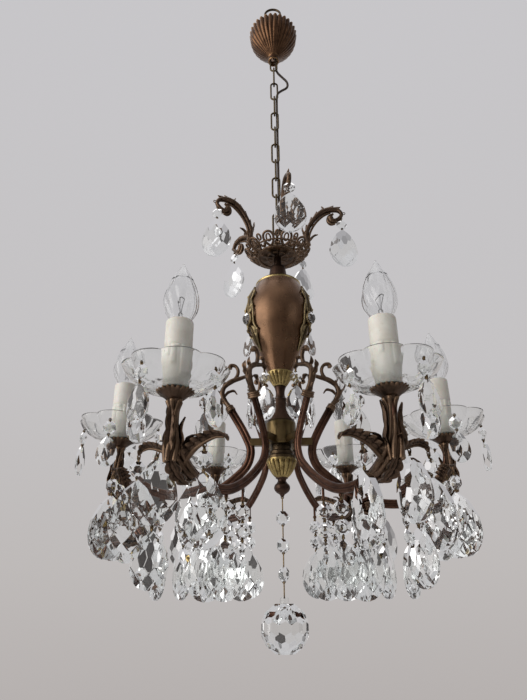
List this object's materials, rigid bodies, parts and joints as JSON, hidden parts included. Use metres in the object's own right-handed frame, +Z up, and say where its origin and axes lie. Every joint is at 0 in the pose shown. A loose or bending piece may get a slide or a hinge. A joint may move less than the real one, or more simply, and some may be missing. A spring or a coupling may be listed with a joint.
{
  "type": "crystal chandelier",
  "caption": "Chain-hung chandelier with candle arms, glass drip dishes and cut-crystal drops on an antiqued brass frame.",
  "frame": {"origin": "where the ceiling hook bears on the inside of the hanging ring", "axes": "+Z up, along the chain; -Y towards the viewer"},
  "size_m": [0.5038, 0.4484, 1.0605],
  "materials": {
    "dark_brass": "antiqued, satin",
    "chain": "antiqued, dull",
    "bronze": "brown lacquer, satin",
    "ornament": "cast, dark brown patina",
    "gilt": "rubbed gold over dark hollows",
    "rod": "plain threaded",
    "crystal": "cut and polished",
    "dish_glass": "pressed, clear",
    "bulb_glass": "clear, twisted",
    "candle": "ivory, wax drips",
    "lampholder": "plain",
    "cable": "brown sleeve"
  },
  "bodies": {
    "hanging_ring": {"hook_ring": "dark_brass"},
    "link_1": {"chain_link_1": "chain"},
    "link_2": {"chain_link_2": "chain"},
    "frame": {"chain_links": "chain", "supply_cable": "cable", "crown_eye": "dark_brass", "crown_dish": "ornament", "crown_scrolls": "ornament", "upper_cone": "bronze", "vase_collar": "gilt", "vase_body": "bronze", "vase_mounts": "ornament", "vase_crystals": "crystal", "fluted_cups": "gilt", "spindle_neck": "bronze", "hub_drum": "bronze", "hub_rings": "dark_brass", "finial": "gilt", "threaded_rod": "rod", "arms": "ornament", "arm_scrolls": "ornament", "arm_leaves": "ornament", "drip_pans": "dark_brass", "bobeches": "dish_glass", "lampholders": "lampholder", "candle_sleeves": "candle"},
    "canopy": {"canopy": "bronze"},
    "bulb_1": {"bulb_1": "bulb_glass"},
    "bulb_2": {"bulb_2": "bulb_glass"},
    "bulb_3": {"bulb_3": "bulb_glass"},
    "bulb_4": {"bulb_4": "bulb_glass"},
    "bulb_5": {"bulb_5": "bulb_glass"},
    "bulb_6": {"bulb_6": "bulb_glass"},
    "crown_drop_1": {"crown_drop_1": "crystal"},
    "crown_drop_2": {"crown_drop_2": "crystal"},
    "crown_drop_3": {"crown_drop_3": "crystal"},
    "crown_drop_4": {"crown_drop_4": "crystal"},
    "crown_drop_5": {"crown_drop_5": "crystal"},
    "scroll_drops_1": {"scroll_drops_1": "crystal"},
    "scroll_drops_2": {"scroll_drops_2": "crystal"},
    "scroll_drops_3": {"scroll_drops_3": "crystal"},
    "arm_drops_1": {"arm_drops_1": "crystal"},
    "arm_drops_2": {"arm_drops_2": "crystal"},
    "arm_drops_3": {"arm_drops_3": "crystal"},
    "arm_drops_4": {"arm_drops_4": "crystal"},
    "arm_drops_5": {"arm_drops_5": "crystal"},
    "arm_drops_6": {"arm_drops_6": "crystal"},
    "inner_drops_1": {"inner_drops_1": "crystal"},
    "inner_drops_2": {"inner_drops_2": "crystal"},
    "inner_drops_3": {"inner_drops_3": "crystal"},
    "bobeche_drops_radial_1": {"bobeche_drops_radial_1": "crystal"},
    "bobeche_drops_radial_2": {"bobeche_drops_radial_2": "crystal"},
    "bobeche_drops_radial_3": {"bobeche_drops_radial_3": "crystal"},
    "bobeche_drops_side_1": {"bobeche_drops_side_1": "crystal"},
    "bobeche_drops_side_2": {"bobeche_drops_side_2": "crystal"},
    "bobeche_drops_side_3": {"bobeche_drops_side_3": "crystal"},
    "bobeche_drops_side_4": {"bobeche_drops_side_4": "crystal"},
    "bobeche_drops_side_5": {"bobeche_drops_side_5": "crystal"},
    "bobeche_drops_side_6": {"bobeche_drops_side_6": "crystal"},
    "ball_string": {"ball_string": "crystal"}
  },
  "joints": [
    {"name": "ring_to_link_1_swing", "type": "hinge", "parent": "hanging_ring", "child": "link_1", "pos_m": [0, 0, -0.026], "axis": [1, 0, 0], "range_deg": [-10, 10]},
    {"name": "link_1_to_link_2_swing", "type": "hinge", "parent": "link_1", "child": "link_2", "pos_m": [0, 0, -0.0607], "axis": [0, 1, 0], "range_deg": [-10, 10]},
    {"name": "chain_twist", "type": "hinge", "parent": "link_2", "child": "frame", "pos_m": [0, 0, -0.0944], "axis": [0, 0, 1], "range_deg": [-20, 20]},
    {"name": "canopy_slide", "type": "slide", "parent": "frame", "child": "canopy", "axis": [0, 0, 1], "range_m": [0, 0.06]},
    {"name": "bulb_1_screw", "type": "hinge", "parent": "frame", "child": "bulb_1", "pos_m": [0.1, -0.1732, -0.7805], "axis": [0, 0, 1], "continuous": true},
    {"name": "bulb_2_screw", "type": "hinge", "parent": "frame", "child": "bulb_2", "pos_m": [0.2, 0, -0.7805], "axis": [0, 0, 1], "continuous": true},
    {"name": "bulb_3_screw", "type": "hinge", "parent": "frame", "child": "bulb_3", "pos_m": [0.1, 0.1732, -0.7805], "axis": [0, 0, 1], "continuous": true},
    {"name": "bulb_4_screw", "type": "hinge", "parent": "frame", "child": "bulb_4", "pos_m": [-0.1, 0.1732, -0.7805], "axis": [0, 0, 1], "continuous": true},
    {"name": "bulb_5_screw", "type": "hinge", "parent": "frame", "child": "bulb_5", "pos_m": [-0.2, 0, -0.7805], "axis": [0, 0, 1], "continuous": true},
    {"name": "bulb_6_screw", "type": "hinge", "parent": "frame", "child": "bulb_6", "pos_m": [-0.1, -0.1732, -0.7805], "axis": [0, 0, 1], "continuous": true},
    {"name": "crown_drop_1_swing", "type": "hinge", "parent": "frame", "child": "crown_drop_1", "pos_m": [0.0165, -0.09356, -0.5015], "axis": [0.9848, 0.1736, 0], "range_deg": [-18, 18]},
    {"name": "crown_drop_2_swing", "type": "hinge", "parent": "frame", "child": "crown_drop_2", "pos_m": [0.09408, -0.01322, -0.5015], "axis": [0.1392, 0.9903, 0], "range_deg": [-18, 18]},
    {"name": "crown_drop_3_swing", "type": "hinge", "parent": "frame", "child": "crown_drop_3", "pos_m": [0.04165, 0.08539, -0.5015], "axis": [-0.8988, 0.4384, 0], "range_deg": [-18, 18]},
    {"name": "crown_drop_4_swing", "type": "hinge", "parent": "frame", "child": "crown_drop_4", "pos_m": [-0.06834, 0.06599, -0.5015], "axis": [-0.6947, -0.7193, 0], "range_deg": [-18, 18]},
    {"name": "crown_drop_5_swing", "type": "hinge", "parent": "frame", "child": "crown_drop_5", "pos_m": [-0.08388, -0.0446, -0.5015], "axis": [0.4695, -0.8829, 0], "range_deg": [-18, 18]},
    {"name": "scroll_drops_1_swing", "type": "hinge", "parent": "frame", "child": "scroll_drops_1", "pos_m": [0, 0, -0.7475], "axis": [0.5, -0.866, 0], "range_deg": [-7, 7]},
    {"name": "scroll_drops_2_swing", "type": "hinge", "parent": "frame", "child": "scroll_drops_2", "pos_m": [0, 0, -0.7475], "axis": [1, 0, 0], "range_deg": [-7, 7]},
    {"name": "scroll_drops_3_swing", "type": "hinge", "parent": "frame", "child": "scroll_drops_3", "pos_m": [0, 0, -0.7475], "axis": [0.5, 0.866, 0], "range_deg": [-7, 7]},
    {"name": "arm_drops_1_swing", "type": "hinge", "parent": "frame", "child": "arm_drops_1", "pos_m": [0.0935, -0.16195, -0.8795], "axis": [0.866, 0.5, 0], "range_deg": [-10, 10]},
    {"name": "arm_drops_2_swing", "type": "hinge", "parent": "frame", "child": "arm_drops_2", "pos_m": [0.187, 0, -0.8795], "axis": [0, 1, 0], "range_deg": [-10, 10]},
    {"name": "arm_drops_3_swing", "type": "hinge", "parent": "frame", "child": "arm_drops_3", "pos_m": [0.0935, 0.16195, -0.8795], "axis": [-0.866, 0.5, 0], "range_deg": [-10, 10]},
    {"name": "arm_drops_4_swing", "type": "hinge", "parent": "frame", "child": "arm_drops_4", "pos_m": [-0.0935, 0.16195, -0.8795], "axis": [-0.866, -0.5, 0], "range_deg": [-10, 10]},
    {"name": "arm_drops_5_swing", "type": "hinge", "parent": "frame", "child": "arm_drops_5", "pos_m": [-0.187, 0, -0.8795], "axis": [0, -1, 0], "range_deg": [-10, 10]},
    {"name": "arm_drops_6_swing", "type": "hinge", "parent": "frame", "child": "arm_drops_6", "pos_m": [-0.0935, -0.16195, -0.8795], "axis": [0.866, -0.5, 0], "range_deg": [-10, 10]},
    {"name": "inner_drops_1_swing", "type": "hinge", "parent": "frame", "child": "inner_drops_1", "pos_m": [0, 0, -0.9115], "axis": [0.5, -0.866, 0], "range_deg": [-8, 8]},
    {"name": "inner_drops_2_swing", "type": "hinge", "parent": "frame", "child": "inner_drops_2", "pos_m": [0, 0, -0.9115], "axis": [1, 0, 0], "range_deg": [-8, 8]},
    {"name": "inner_drops_3_swing", "type": "hinge", "parent": "frame", "child": "inner_drops_3", "pos_m": [0, 0, -0.9115], "axis": [0.5, 0.866, 0], "range_deg": [-8, 8]},
    {"name": "bobeche_drops_radial_1_swing", "type": "hinge", "parent": "frame", "child": "bobeche_drops_radial_1", "pos_m": [0, 0, -0.8123], "axis": [0.5, -0.866, 0], "range_deg": [-12, 12]},
    {"name": "bobeche_drops_radial_2_swing", "type": "hinge", "parent": "frame", "child": "bobeche_drops_radial_2", "pos_m": [0, 0, -0.8123], "axis": [1, 0, 0], "range_deg": [-12, 12]},
    {"name": "bobeche_drops_radial_3_swing", "type": "hinge", "parent": "frame", "child": "bobeche_drops_radial_3", "pos_m": [0, 0, -0.8123], "axis": [0.5, 0.866, 0], "range_deg": [-12, 12]},
    {"name": "bobeche_drops_side_1_swing", "type": "hinge", "parent": "frame", "child": "bobeche_drops_side_1", "pos_m": [0.1, -0.1732, -0.8123], "axis": [0.866, 0.5, 0], "range_deg": [-12, 12]},
    {"name": "bobeche_drops_side_2_swing", "type": "hinge", "parent": "frame", "child": "bobeche_drops_side_2", "pos_m": [0.2, 0, -0.8123], "axis": [0, 1, 0], "range_deg": [-12, 12]},
    {"name": "bobeche_drops_side_3_swing", "type": "hinge", "parent": "frame", "child": "bobeche_drops_side_3", "pos_m": [0.1, 0.1732, -0.8123], "axis": [-0.866, 0.5, 0], "range_deg": [-12, 12]},
    {"name": "bobeche_drops_side_4_swing", "type": "hinge", "parent": "frame", "child": "bobeche_drops_side_4", "pos_m": [-0.1, 0.1732, -0.8123], "axis": [-0.866, -0.5, 0], "range_deg": [-12, 12]},
    {"name": "bobeche_drops_side_5_swing", "type": "hinge", "parent": "frame", "child": "bobeche_drops_side_5", "pos_m": [-0.2, 0, -0.8123], "axis": [0, -1, 0], "range_deg": [-12, 12]},
    {"name": "bobeche_drops_side_6_swing", "type": "hinge", "parent": "frame", "child": "bobeche_drops_side_6", "pos_m": [-0.1, -0.1732, -0.8123], "axis": [0.866, -0.5, 0], "range_deg": [-12, 12]},
    {"name": "ball_string_swing", "type": "hinge", "parent": "frame", "child": "ball_string", "pos_m": [0, 0, -0.89575], "axis": [1, 0, 0], "range_deg": [-12, 12]}
  ]
}
